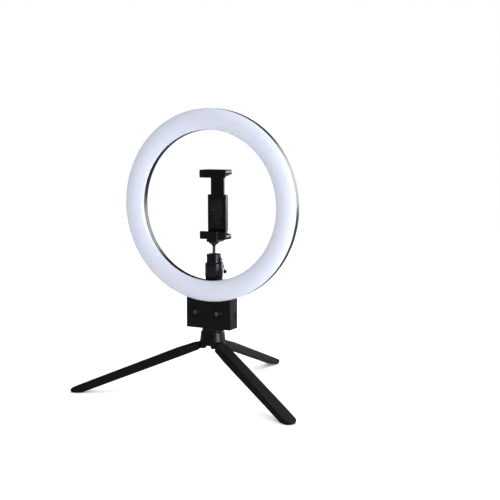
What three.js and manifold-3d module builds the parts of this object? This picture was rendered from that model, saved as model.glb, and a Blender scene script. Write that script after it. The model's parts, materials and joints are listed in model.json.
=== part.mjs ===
// Table-top ring light: an LED ring on a control box, a folding three-leg stand under it, and a ball head
// with a sprung phone clamp in the middle of the ring.
// Millimetres, +Z up. The light shines towards -Y. The origin is on the floor, at the centre of the
// footprint.
import * as THREE from "three";
import { mergeVertices } from "three/addons/utils/BufferGeometryUtils.js";
import Module from "manifold-3d";

const wasm = await Module();
wasm.setup();

// Clearances
const seat = 0.2; // between two pieces that rest on each other
const fit = 0.3; // round a shaft, a screw or a lip
const screwShankR = 1.2;
const screwHeadR = 2.4;
const screwHeadHeight = 1.2;
const pilotR = screwShankR + fit;

// Ring head
const ringOuterR = 130;
const ringInnerR = 101.6;
const ringWall = 2;
const shellDepth = 9.2; // seam to back
const diffuserDepth = 8.9; // seam to crown
const diffuserWall = 2;
const lipThickness = 1.5;
const lipDepth = 2.6;
const ledBoardThickness = 1.6;
const ledCount = 40;
const ledSide = 2.8;
const ledHeight = 1;
const ringScrewCount = 6;
const ringBossR = 2.5;
const ringBackY = -2.4; // back of the ring, measured from the stand's axis
const ringSegments = 48;

// Control box
const boxWidth = 68.8;
const boxDepth = 21;
const boxFrontY = -12.8;
const boxFaceHeight = 37.5; // from the underside to the lowest point of the ring
const boxTopDrop = 7.1; // the box stops this far below the ring's inner edge
const boxWall = 2;
const boxCornerR = 1.8;
const boxSplitY = -6; // between the front and the rear cover
const boxPostR = 3;
const boxScrewX = 27.5;
const boxScrewLowZ = 6.5;
const boxScrewHighZ = 31;
const ringMountX = 24;
const buttonR = 7;
const buttonProud = 0.8;
const buttonFlange = 1.1; // how far the collar behind the face reaches past the cap
const buttonFlangeThickness = 1.2;
const buttonTravel = 0.8;
const buttonZ = 21.3;
const buttonX = { power: -20, mode: 13 };
const circuitBackY = -1.4;
const circuitThickness = 1.6;
const circuitWidth = 58;
const circuitLowZ = 12.3;
const circuitHeight = 15;
const switchSide = 6;
const socketLength = 8;
const socketWidth = 9.2;
const socketDepth = 3.4;
const socketZ = 18.8;
const insertR = 4.5;
const insertLength = 10;
const leadR = 1.3;
const leadX = 10;
const leadGap = 0.9; // between the lead and the rear cover's wall
const leadBend = 0.63; // share of the way back from the board to the wall
const leadSlope = 0.129; // where it comes down to the board

// Tripod
const legLength = 193.4; // pivot to the end of the tip
const legSpread = THREE.MathUtils.degToRad(20.2); // below the horizontal
const legKnuckleR = 4.2;
const legShoulder = 7.6; // pivot to where the leg widens
const legHipLength = 35;
const legHipRise = 6.3;
const legTipRise = 4.5;
const legTipHeight = 3.4; // top of the tip above the floor
const legTongue = 10;
const legShoulderWidth = 16.8;
const legHipWidth = 19;
const legTipWidth = 16.4;
const legChamfer = 2.6;
const noseLength = 2.4; // rounded off the end of the tip
const pivotR = 13.5;
const pinR = 1.5;
const pinLength = 17;
const footPadLength = 10.5;
const footPadWidth = 8;
const footPadThickness = 1.4;
const footStep = 0.4; // the pad stands this far below the leg
const legAzimuth = { left: 210, right: 330, rear: 90 };
const standTurn = -1.4; // degrees the stand has stopped short of square when screwed on
const hubTopR = 16.2;
const hubBottomR = 17.9;
const hubHeight = 18.3;
const hubSkirt = 0.4; // below the leg pivots
const earR = 5;
const earWidth = 17.4;
const hubNeckR = 14.6;
const hubNeckHeight = 2.4;
const hubPadHeight = 2.2;
const studR = 3.05; // quarter-inch tripod thread
const studHeadR = 6.3;
const studHeadHeight = 4.2;
const studHeadZ = 1.2;
const studEngagement = 8.5;

// Ball head
const ballAxisY = 4.4; // behind the stand's axis
const seatR = 11.6; // the round seat on top of the box
const seatHeight = 8.1;
const headStudHeadR = 4.8;
const headStudHeadHeight = 3.2;
const wheelR = 11.7;
const wheelHeight = 2.3;
const wheelRidges = 26;
const housingR = 12.2;
const housingHeight = 18.2;
const collarR = 10;
const collarHeight = 11.8;
const housingStep = 1;
const ballR = 7.6;
const ballDrop = 7; // ball centre below the collar's rim
const ballLipR = 7.2;
const ballMouthR = 9.2;
const stemR = 2.1;
const flangeR = 7;
const flangeHeight = 1.6;
const stemConeHeight = 4.2;
const stemHeight = 23.3; // ball centre to the flange's top
const leverDrop = 2.2; // lever axis below the ball centre
const leverBossR = 4;
const leverBossX = 11.8;
const lockScrewR = 2;
const leverReach = 11.6;
const leverOut = 3.2;
const leverThickness = 1.8;
const leverWidth = 3.6;
const gripR = 2.3;
const gripLength = 5;

// Phone clamp, measured from the stem flange's top and the stem's axis
const jawGap = 78; // between the rubber pads, as it holds a phone
const jawWidth = 41.5;
const jawThickness = 6.8;
const jawFrontY = -4.8;
const jawBackY = 14.2;
const upperJawOverhang = 0.8; // behind the back cover
const lipY = 1.8;
const jawLip = 2.6;
const jawPad = 1.2;
const jawPadInset = 1.5;
const jawCornerR = 3;
const clampBlockWidth = 17.4;
const clampBlockFrontY = -7;
const clampBlockBackY = 14;
const clampBlockDrop = 3.5;
const clampNutR = 4.2;
const spineFrontY = 8.4;
const spineWidth = 28;
const spineHeight = 52;
const spineWall = 1.4;
const spineSideWall = 3.6;
const tongueThickness = 2.8;
const tongueLength = 54;
const backCover = 1.5;
const spinePadThickness = 1;
const clampScrewR = 0.9;
const clampScrewHeadR = 1.6;
const clampScrewLength = 4.6;
const springR = 1.3;
const springWireR = 0.3;
const springTurns = 5;
const springX = 5.6;

// Heights and depths that follow from the sizes above
const seamY = ringBackY - shellDepth;
const ringMidR = (ringOuterR + ringInnerR) / 2;
const ringHalfBand = (ringOuterR - ringInnerR) / 2;
const lipOuterR = ringOuterR - ringWall - fit;
const lipInnerR = ringInnerR + ringWall + fit;
const lipEndY = seamY + lipDepth;
const ledBoardBackY = ringBackY - ringWall - fit;
const ringBossRadius = lipOuterR - lipThickness - ringBossR - 2 * fit;
const ledBoardOuterR = ringBossRadius - ringBossR - fit;
const ledBoardInnerR = lipInnerR + lipThickness + fit;
const pivotZ =
  legTipHeight + legLength * Math.sin(legSpread) - legTipRise * Math.cos(legSpread);
const hubBottomZ = pivotZ - hubSkirt;
const hubTopZ = hubBottomZ + hubHeight;
const hubNeckZ = hubTopZ + hubNeckHeight;
const boxBottomZ = hubNeckZ + hubPadHeight + 2 * seat;
const ringCentreZ = boxFaceHeight + ringOuterR; // above the box's underside, as are the two below
const boxHeight = boxFaceHeight + ringOuterR - ringInnerR - boxTopDrop;
const ringMountZ = ringCentreZ - Math.sqrt(ringBossRadius ** 2 - ringMountX ** 2);
const boxBackY = boxFrontY + boxDepth;
const wheelZ = seatHeight + fit;
const housingZ = wheelZ + wheelHeight + fit;
const collarZ = housingZ + housingHeight + housingStep;
const rimZ = collarZ + collarHeight;
const ballZ = rimZ - ballDrop;
const leverZ = ballZ - leverDrop;
const flangeZ = ballZ + stemHeight;
const clampBlockZ = fit;
const jawLowZ = clampBlockZ + clampBlockDrop;
const jawFaceZ = jawLowZ + jawThickness; // the plastic under the lower pad
const phoneLowZ = jawFaceZ + seat + jawPad;
const phoneHighZ = phoneLowZ + jawGap;
const upperJawZ = phoneHighZ + jawPad + seat;
const spineTopZ = phoneLowZ + spineHeight;
const cavityY = spineFrontY + spineWall;
const cavityDepth = tongueThickness + 2 * fit;
const coverY = cavityY + cavityDepth + seat;
const clampBackY = coverY + backCover;
const tongueBottomZ = phoneHighZ - tongueLength;
const cavityFloorZ = jawLowZ + 2.2;

// Materials
const finish = (color, roughness, metalness) =>
  new THREE.MeshStandardMaterial({ color, roughness, metalness });
const blackPlastic = finish(0x16161a, 0.5, 0);
const milkyPlastic = finish(0xe9ecf6, 0.35, 0);
const blackRubber = finish(0x101012, 0.85, 0);
const anodised = finish(0x141418, 0.3, 0.7);
const chrome = finish(0xd8d8dc, 0.12, 1);
const steel = finish(0x9a9a9e, 0.35, 1);
const darkSteel = finish(0x2b2b2f, 0.4, 1);
const brass = finish(0xb08a3e, 0.35, 1);
const circuitGreen = finish(0x1d5a38, 0.5, 0);
const ledWhite = finish(0xeee9cf, 0.4, 0);
const nylon = finish(0xd9d6cc, 0.6, 0);
const wire = finish(0x8c1d1d, 0.5, 0);

// A three.js geometry as a solid that can be joined and cut.
function solid(geometry) {
  const loose = geometry.index ? geometry.toNonIndexed() : geometry;
  const bare = new THREE.BufferGeometry().setAttribute("position", loose.getAttribute("position"));
  const merged = mergeVertices(bare, 1e-4);
  const corners = merged.index.array;
  const faces = [];
  for (let i = 0; i < corners.length; i += 3) {
    const [a, b, c] = [corners[i], corners[i + 1], corners[i + 2]];
    if (a !== b && b !== c && c !== a) faces.push(a, b, c);
  }
  const build = (list) =>
    new wasm.Manifold(
      new wasm.Mesh({
        numProp: 3,
        vertProperties: merged.attributes.position.array,
        triVerts: new Uint32Array(list),
      }),
    );
  const made = build(faces);
  return made.volume() > 0 ? made : build(faces.reverse());
}

// A solid as a named mesh in its own material.
function piece(name, shape, material) {
  const cut = shape.getMesh();
  const vertices = new Float32Array(cut.numVert * 3);
  for (let i = 0; i < cut.numVert; i++) {
    const from = i * cut.numProp;
    vertices.set(cut.vertProperties.subarray(from, from + 3), i * 3);
  }
  const indexed = new THREE.BufferGeometry();
  indexed.setAttribute("position", new THREE.BufferAttribute(vertices, 3));
  indexed.setIndex(new THREE.BufferAttribute(cut.triVerts, 1));
  const geometry = indexed.toNonIndexed();
  geometry.computeVertexNormals();
  const mesh = new THREE.Mesh(geometry, material);
  mesh.name = name;
  return mesh;
}

function group(...children) {
  const made = new THREE.Group();
  if (children.length) made.add(...children);
  return made;
}

const box = (x, y, z) =>
  solid(
    new THREE.BoxGeometry(x[1] - x[0], y[1] - y[0], z[1] - z[0]).translate(
      (x[0] + x[1]) / 2,
      (y[0] + y[1]) / 2,
      (z[0] + z[1]) / 2,
    ),
  );

// Extrusions of an outline: XY up to Z, XZ along Y, and YZ along X.
const extruded = (shape, depth) =>
  new THREE.ExtrudeGeometry(shape, { depth, bevelEnabled: false, curveSegments: 5 });
const prismZ = (shape, z) => solid(extruded(shape, z[1] - z[0]).translate(0, 0, z[0]));
const prismY = (shape, y) =>
  solid(extruded(shape, y[1] - y[0]).rotateX(Math.PI / 2).translate(0, y[1], 0));
const turnToX = new THREE.Matrix4().makeBasis(
  new THREE.Vector3(0, 1, 0),
  new THREE.Vector3(0, 0, 1),
  new THREE.Vector3(1, 0, 0),
);
const prismX = (shape, x) =>
  solid(extruded(shape, x[1] - x[0]).applyMatrix4(turnToX).translate(x[0], 0, 0));

// Rods: the profile of a turned piece is a list of [radius, height] from axis to axis, or a closed ring.
const profile = (points) => points.map(([r, h]) => new THREE.Vector2(r, h));
const turnedY = (points, segments) => solid(new THREE.LatheGeometry(profile(points), segments));
const turnedZ = (points, segments) =>
  solid(new THREE.LatheGeometry(profile(points), segments).rotateX(Math.PI / 2));
const rodProfile = (r, h) => [
  [0, h[0]],
  [r, h[0]],
  [r, h[1]],
  [0, h[1]],
];
const rodX = (r, x, segments = 16) =>
  solid(
    new THREE.CylinderGeometry(r, r, x[1] - x[0], segments)
      .rotateZ(-Math.PI / 2)
      .translate((x[0] + x[1]) / 2, 0, 0),
  );
const rodY = (r, y, segments = 16) => turnedY(rodProfile(r, y), segments);
const rodZ = (r, z, segments = 16) => turnedZ(rodProfile(r, z), segments);

function outline(points) {
  return new THREE.Shape(points.map(([x, y]) => new THREE.Vector2(x, y)));
}

function roundedRect(x, y, r) {
  const [x0, x1] = x;
  const [y0, y1] = y;
  const shape = new THREE.Shape();
  shape.moveTo(x0 + r, y0);
  shape.lineTo(x1 - r, y0);
  shape.absarc(x1 - r, y0 + r, r, -Math.PI / 2, 0);
  shape.lineTo(x1, y1 - r);
  shape.absarc(x1 - r, y1 - r, r, 0, Math.PI / 2);
  shape.lineTo(x0 + r, y1);
  shape.absarc(x0 + r, y1 - r, r, Math.PI / 2, Math.PI);
  shape.lineTo(x0, y0 + r);
  shape.absarc(x0 + r, y0 + r, r, Math.PI, 1.5 * Math.PI);
  return shape;
}

// A pan-head screw along -Y: its head's underside is at the origin and its shank runs towards -Y.
function screwAlongY(name, shankLength, at, headR = screwHeadR, shankR = screwShankR) {
  const shape = turnedY(
    [
      [0, -shankLength],
      [shankR, -shankLength],
      [shankR, 0],
      [headR, 0],
      [headR, screwHeadHeight * 0.6],
      [headR * 0.7, screwHeadHeight],
      [0, screwHeadHeight],
    ],
    8,
  );
  const driveSlot = box(
    [-headR, headR],
    [screwHeadHeight * 0.55, screwHeadHeight * 2],
    [-headR * 0.16, headR * 0.16],
  );
  const mesh = piece(name, shape.subtract(driveSlot), darkSteel);
  mesh.position.set(...at);
  return mesh;
}

// Ring head: diffuser, back shell, LED board and their screws, round the ring's own axis.
function ringAngle(index) {
  return (index * 2 * Math.PI) / ringScrewCount;
}

function onRing(radius, angle) {
  return [radius * Math.cos(angle), radius * Math.sin(angle)];
}

function crownArc(halfWidth, depth, steps, start, end) {
  const arc = [];
  for (let i = 0; i <= steps; i++) {
    const angle = start + ((end - start) * i) / steps;
    arc.push([ringMidR + halfWidth * Math.cos(angle), seamY - seat / 2 - depth * Math.sin(angle)]);
  }
  return arc;
}

function makeDiffuser() {
  const innerHalf = lipOuterR - lipThickness - ringMidR;
  let shape = turnedY(
    [
      ...crownArc(ringHalfBand, diffuserDepth, 8, 0, Math.PI),
      [lipInnerR, seamY - seat / 2],
      [lipInnerR, lipEndY],
      [lipInnerR + lipThickness, lipEndY],
      ...crownArc(innerHalf, diffuserDepth - diffuserWall, 6, Math.PI, 0),
      [lipOuterR - lipThickness, lipEndY],
      [lipOuterR, lipEndY],
      [lipOuterR, seamY - seat / 2],
      [ringOuterR, seamY - seat / 2],
    ],
    ringSegments,
  );
  const bossTopY = seamY - 0.55 * diffuserDepth;
  for (let i = 0; i < ringScrewCount; i++) {
    const [x, z] = onRing(ringBossRadius, ringAngle(i));
    const boss = rodY(ringBossR, [bossTopY, ledBoardBackY], 10).translate([x, 0, z]);
    const hole = rodY(pilotR, [bossTopY + 2.5, ledBoardBackY + 1], 8).translate([x, 0, z]);
    shape = shape.add(boss).subtract(hole);
  }
  return piece("ring_diffuser", shape, milkyPlastic);
}

function makeBackShell() {
  const rimY = seamY + seat / 2;
  const innerBackY = ringBackY - ringWall;
  const edge = ringWall;
  let shape = turnedY(
    [
      [ringOuterR, rimY],
      [ringOuterR, ringBackY - edge],
      [ringOuterR - edge * 0.3, ringBackY - edge * 0.3],
      [ringOuterR - edge, ringBackY],
      [ringInnerR + edge, ringBackY],
      [ringInnerR + edge * 0.3, ringBackY - edge * 0.3],
      [ringInnerR, ringBackY - edge],
      [ringInnerR, rimY],
      [ringInnerR + ringWall, rimY],
      [ringInnerR + ringWall, innerBackY],
      [ringOuterR - ringWall, innerBackY],
      [ringOuterR - ringWall, rimY],
      [ringOuterR, rimY],
    ],
    ringSegments,
  );
  const headRecess = [ringBackY - screwHeadHeight - seat, ringBackY + 1];
  for (let i = 0; i < ringScrewCount; i++) {
    const [x, z] = onRing(ringBossRadius, ringAngle(i));
    const through = rodY(pilotR, [innerBackY - 1, ringBackY + 1], 8);
    const recess = rodY(screwHeadR + fit, headRecess, 12);
    shape = shape.subtract(through.add(recess).translate([x, 0, z]));
  }
  for (const x of [-ringMountX, ringMountX]) {
    const z = ringMountZ - ringCentreZ;
    const boss = rodY(ringBossR, [seamY + 1.5, innerBackY + 0.5], 10).translate([x, 0, z]);
    const hole = rodY(pilotR, [seamY, ringBackY + 1], 8).translate([x, 0, z]);
    shape = shape.add(boss).subtract(hole);
  }
  const leadHole = rodY(leadR + 2 * fit, [innerBackY - 1, ringBackY + 1], 12);
  shape = shape.subtract(leadHole.translate([leadX, 0, leadExitZ() - ringCentreZ]));
  return piece("ring_back_shell", shape, blackPlastic);
}

function makeLedBoard() {
  const frontY = ledBoardBackY - ledBoardThickness;
  let shape = turnedY(
    [
      [ledBoardInnerR, frontY],
      [ledBoardOuterR, frontY],
      [ledBoardOuterR, ledBoardBackY],
      [ledBoardInnerR, ledBoardBackY],
      [ledBoardInnerR, frontY],
    ],
    ringSegments,
  );
  const chips = [];
  for (let i = 0; i < ledCount; i++) {
    const [x, z] = onRing((ledBoardInnerR + ledBoardOuterR) / 2, ((i + 0.5) * 2 * Math.PI) / ledCount);
    const half = ledSide / 2;
    chips.push(box([x - half, x + half], [frontY - ledHeight, frontY + 0.4], [z - half, z + half]));
  }
  shape = wasm.Manifold.union([shape, ...chips]);
  return piece("led_board", shape, ledWhite);
}

function makeRing() {
  const ring = group(makeDiffuser(), makeBackShell(), makeLedBoard());
  const headY = ringBackY - screwHeadHeight;
  for (let i = 0; i < ringScrewCount; i++) {
    const [x, z] = onRing(ringBossRadius, ringAngle(i));
    ring.add(screwAlongY(`ring_screw_${i + 1}`, 7, [x, headY, z]));
  }
  return ring;
}

// Control box: two covers round the driver board, hung under the ring. Z is measured from its underside.
function leadExitZ() {
  return boxHeight - 7;
}

function boxOutline(inset) {
  const half = boxWidth / 2 - inset;
  const r = boxCornerR - inset / 2;
  const plan = roundedRect([-half, half], [boxFrontY + inset, boxBackY - inset], r);
  const face = roundedRect([-half, half], [inset, boxHeight - inset], r);
  return prismZ(plan, [inset, boxHeight - inset]).intersect(prismY(face, [boxFrontY, boxBackY]));
}

function ringRelief(radius, backY) {
  const relief = rodY(radius, [-3 * boxDepth, backY], 2 * ringSegments);
  return relief.translate([0, 0, ringCentreZ]);
}

const boxScrews = [
  [-boxScrewX, boxScrewLowZ],
  [boxScrewX, boxScrewLowZ],
  [-boxScrewX, boxScrewHighZ],
  [boxScrewX, boxScrewHighZ],
];

function makeFrontCover() {
  const reliefBack = ringBackY + fit + seat;
  const outer = boxOutline(0).subtract(ringRelief(ringOuterR + fit, reliefBack));
  const hollow = boxOutline(boxWall).subtract(ringRelief(ringOuterR + fit + boxWall, reliefBack));
  const wholeWidth = [-boxWidth, boxWidth];
  const behindSplit = box(wholeWidth, [boxSplitY - seat, boxDepth], [-1, 2 * boxHeight]);
  let shape = outer.subtract(hollow);
  for (const [x, z] of boxScrews) {
    shape = shape.add(rodY(boxPostR, [boxFrontY + 1, boxSplitY - seat], 10).translate([x, 0, z]));
  }
  shape = shape.intersect(outer).subtract(behindSplit);
  for (const [x, z] of boxScrews) {
    shape = shape.subtract(rodY(pilotR, [boxFrontY + 2, boxSplitY + 1], 8).translate([x, 0, z]));
  }
  for (const x of Object.values(buttonX)) {
    const hole = rodY(buttonR + fit, [boxFrontY - 1, boxFrontY + boxWall + 1], 24);
    shape = shape.subtract(hole.translate([x, 0, buttonZ]));
  }
  return piece("box_front_cover", shape, blackPlastic);
}

function makeRearCover() {
  const reliefBack = ringBackY + fit;
  const outer = boxOutline(0).subtract(ringRelief(ringOuterR + fit, reliefBack));
  const hollow = boxOutline(boxWall).subtract(ringRelief(ringOuterR + fit + boxWall, reliefBack));
  const aheadOfSplit = box(
    [-boxWidth, boxWidth],
    [-2 * boxDepth, boxSplitY + seat],
    [-1, 2 * boxHeight],
  );
  const bracket = prismX(
    outline([
      [boxBackY - 1, boxHeight - 13],
      [boxBackY, boxHeight - 13],
      [ballAxisY + seatR, boxHeight - 3],
      [ballAxisY + seatR, boxHeight + seatHeight],
      [ringBackY + fit + seat, boxHeight + seatHeight],
      [ringBackY + fit + seat, boxHeight - 4],
      [boxBackY - 1, boxHeight - 4],
    ]),
    [-seatR, seatR],
  ).intersect(headPost(seatR, [boxHeight - 14, boxHeight + seatHeight], 28));
  let shape = outer.subtract(hollow).add(bracket);
  const posts = [
    ...boxScrews.map(([x, z]) => [x, z, boxSplitY + seat]),
    [-ringMountX, ringMountZ, reliefBack],
    [ringMountX, ringMountZ, reliefBack],
  ];
  for (const [x, z, frontY] of posts) {
    shape = shape.add(rodY(boxPostR, [frontY, boxBackY - 1], 10).translate([x, 0, z]));
  }
  const insertBoss = rodZ(insertR + fit + 2, [0.5, insertLength + 1], 20);
  shape = shape.add(insertBoss).subtract(aheadOfSplit);
  for (const [x, z, frontY] of posts) {
    const through = rodY(pilotR, [frontY - 1, boxBackY], 8);
    const recess = rodY(screwHeadR + fit, [boxBackY - screwHeadHeight - seat, boxBackY + 1], 12);
    shape = shape.subtract(through.add(recess).translate([x, 0, z]));
  }
  shape = shape.subtract(rodZ(insertR + fit, [-1, insertLength + 3], 20));
  const socketHole = roundedRect(
    [socketMidY() - socketDepth / 2 - fit, socketMidY() + socketDepth / 2 + fit],
    [socketZ - socketWidth / 2 - fit, socketZ + socketWidth / 2 + fit],
    1.2,
  );
  shape = shape.subtract(prismX(socketHole, [boxWidth / 2 - boxWall - 1, boxWidth / 2 + 1]));
  const pocketTop = boxHeight + headStudZ() + headStudHeadHeight + seat;
  shape = shape
    .subtract(headPost(studR + fit, [boxHeight - 2, boxHeight + seatHeight + 1], 16))
    .subtract(headPost(headStudHeadR + fit, [boxHeight - 5, pocketTop], 20));
  return piece("box_rear_cover", shape, blackPlastic);
}

function headPost(radius, z, segments) {
  return rodZ(radius, z, segments).translate([0, ballAxisY, 0]);
}

function headStudZ() {
  return -3.8;
}

function makeButton(name, x) {
  const capBack = boxFrontY + boxWall + fit;
  const flangeBack = capBack + buttonFlangeThickness;
  const shape = turnedY(
    [
      [0, boxFrontY - buttonProud],
      [buttonR - 0.6, boxFrontY - buttonProud],
      [buttonR, boxFrontY - buttonProud + 0.5],
      [buttonR, capBack],
      [buttonR + buttonFlange, capBack],
      [buttonR + buttonFlange, flangeBack],
      [1.5, flangeBack],
      [1.5, flangeBack + 0.6],
      [0, flangeBack + 0.6],
    ],
    24,
  );
  const mesh = piece(name, shape, blackPlastic);
  mesh.position.set(x, 0, buttonZ);
  return mesh;
}

function pressSwitch(x) {
  const half = switchSide / 2;
  const plungerY = boxFrontY + boxWall + fit + buttonFlangeThickness + 0.6 + buttonTravel + fit;
  const body = box([-half, half], [plungerY + 0.7, circuitBackY - 1], [-half, half]);
  return body.add(rodY(1.7, [plungerY, plungerY + 1], 12)).translate([x, 0, buttonZ]);
}

function makeCircuit() {
  const half = circuitWidth / 2;
  const board = box(
    [-half, half],
    [circuitBackY - circuitThickness, circuitBackY],
    [circuitLowZ, circuitLowZ + circuitHeight],
  );
  const choke = rodY(3, [circuitBackY - 0.5, circuitBackY + 3.5], 14);
  const chip = box([-3, 3], [circuitBackY - 0.5, circuitBackY + 1.4], [-2.5, 2.5]);
  const midZ = circuitLowZ + circuitHeight / 2;
  const shape = board
    .add(choke.translate([-16, 0, midZ]))
    .add(chip.translate([-4, 0, midZ]))
    .add(chip.translate([-24.5, 0, midZ]))
    .add(pressSwitch(buttonX.power))
    .add(pressSwitch(buttonX.mode));
  return piece("driver_board", shape, circuitGreen);
}

function socketMidY() {
  return circuitBackY + fit + socketDepth / 2;
}

function makeSocket() {
  const y = [socketMidY() - socketDepth / 2, socketMidY() + socketDepth / 2];
  const z = [socketZ - socketWidth / 2, socketZ + socketWidth / 2];
  const x = [boxWidth / 2 - socketLength, boxWidth / 2];
  const sheet = 0.4;
  const shell = prismX(roundedRect(y, z, 1.1), x);
  const inner = roundedRect([y[0] + sheet, y[1] - sheet], [z[0] + sheet, z[1] - sheet], 0.8);
  const mouth = prismX(inner, [x[0] + 1, x[1] + 1]);
  const tongue = box([x[0] + 0.5, x[1] - 1.5], [y[0] + 1.3, y[1] - 1.3], [z[0] + 2, z[1] - 2]);
  return piece("power_socket", shell.subtract(mouth).add(tongue), darkSteel);
}

function makeInsert(name, radius, length, material) {
  const shape = rodZ(radius, [0, length], 20).subtract(rodZ(studR + fit, [-1, length + 1], 16));
  return piece(name, shape, material);
}

function makeLead() {
  const exitZ = leadExitZ();
  const landingZ = circuitLowZ + circuitHeight - 2;
  const behindBoard = boxBackY - boxWall - leadR - leadGap;
  const landingY = circuitBackY + fit;
  const bendY = circuitBackY + leadBend * (behindBoard - circuitBackY);
  const bendZ = landingZ + leadSlope * (bendY - landingY);
  const route = new THREE.CatmullRomCurve3([
    new THREE.Vector3(leadX, ringBackY - ringWall + 0.1, exitZ),
    new THREE.Vector3(leadX, ringBackY + 2.2, exitZ),
    new THREE.Vector3(leadX, behindBoard - 0.7, exitZ - 3),
    new THREE.Vector3(leadX, behindBoard, exitZ - 9),
    new THREE.Vector3(leadX, behindBoard - 0.2, landingZ + 8),
    new THREE.Vector3(leadX, bendY, bendZ),
    new THREE.Vector3(leadX, landingY, landingZ),
  ]);
  const section = new THREE.Shape().absarc(0, 0, leadR, 0, 2 * Math.PI);
  const tube = new THREE.ExtrudeGeometry(section, {
    steps: 18,
    curveSegments: 4,
    bevelEnabled: false,
    extrudePath: route,
  });
  return piece("ring_lead", solid(tube), wire);
}

function makeControlBox() {
  const insert = makeInsert("tripod_insert", insertR, insertLength, brass);
  insert.position.z = fit;
  const controls = group(
    makeFrontCover(),
    makeRearCover(),
    makeButton("power_button", buttonX.power),
    makeButton("mode_button", buttonX.mode),
    makeCircuit(),
    makeSocket(),
    makeLead(),
    insert,
  );
  const headY = boxBackY - screwHeadHeight;
  boxScrews.forEach(([x, z], i) => {
    const shank = headY - boxFrontY - boxWall - 1;
    controls.add(screwAlongY(`box_screw_${i + 1}`, shank, [x, headY, z]));
  });
  [-ringMountX, ringMountX].forEach((x, i) => {
    const shank = headY - seamY - 2;
    controls.add(screwAlongY(`ring_mount_screw_${i + 1}`, shank, [x, headY, ringMountZ]));
  });
  return controls;
}

// Tripod: hub, rubber pad, stud, and three folding legs on cross pins.
function makeHub() {
  let shape = turnedZ(
    [
      [0, hubBottomZ],
      [hubBottomR - 1, hubBottomZ],
      [hubBottomR, hubBottomZ + 1],
      [hubTopR, hubTopZ - 1],
      [hubTopR - 1, hubTopZ],
      [hubNeckR, hubTopZ],
      [hubNeckR, hubNeckZ],
      [0, hubNeckZ],
    ],
    36,
  );
  const ear = rodX(earR, [-earWidth / 2, earWidth / 2], 14)
    .add(box([-earWidth / 2, earWidth / 2], [-earR, earR], [0, earR]))
    .rotate([0, 0, 90])
    .translate([pivotR - 0.6, 0, pivotZ]);
  const cone = rodZ(hubBottomR, [0, 2 * hubNeckZ], 36);
  for (const azimuth of Object.values(legAzimuth)) {
    shape = shape.add(ear.intersect(cone).rotate([0, 0, azimuth]));
  }
  shape = shape
    .subtract(rodZ(studR + fit, [0, 2 * hubNeckZ], 16))
    .subtract(rodZ(studHeadR + 0.5, [0, hubBottomZ + studHeadZ + studHeadHeight + seat], 20));
  const slotHalf = legTongue / 2 + fit;
  const slotInnerR = pivotR - legKnuckleR - 0.4;
  const slotTopZ = pivotZ + legKnuckleR + 0.5;
  const slot = box([slotInnerR, 2 * hubBottomR], [-slotHalf, slotHalf], [0, slotTopZ]);
  const pinHole = rodX(pinR + fit, [-pinLength / 2 - fit, pinLength / 2 + fit], 14);
  const hole = pinHole.rotate([0, 0, 90]).translate([pivotR, 0, pivotZ]);
  for (const azimuth of Object.values(legAzimuth)) {
    shape = shape.subtract(slot.add(hole).rotate([0, 0, azimuth]));
  }
  return piece("tripod_hub", shape, blackPlastic);
}

function makeHubPad() {
  const shape = rodZ(hubNeckR - 0.6, [hubNeckZ + seat, hubNeckZ + seat + hubPadHeight], 32);
  return piece("hub_pad", shape.subtract(rodZ(studR + fit, [0, 2 * hubNeckZ], 16)), blackRubber);
}

function makeStud() {
  const headZ = hubBottomZ + studHeadZ;
  const head = rodZ(studHeadR, [headZ, headZ + studHeadHeight], 6);
  const shank = rodZ(studR, [headZ + 1, boxBottomZ + studEngagement], 16);
  return piece("tripod_stud", head.add(shank), steel);
}

// The leg lies along +X from its pivot, with the floor cut across its underside.
function floorCut(u, height) {
  return (height - pivotZ + u * Math.sin(legSpread)) / Math.cos(legSpread);
}

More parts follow.
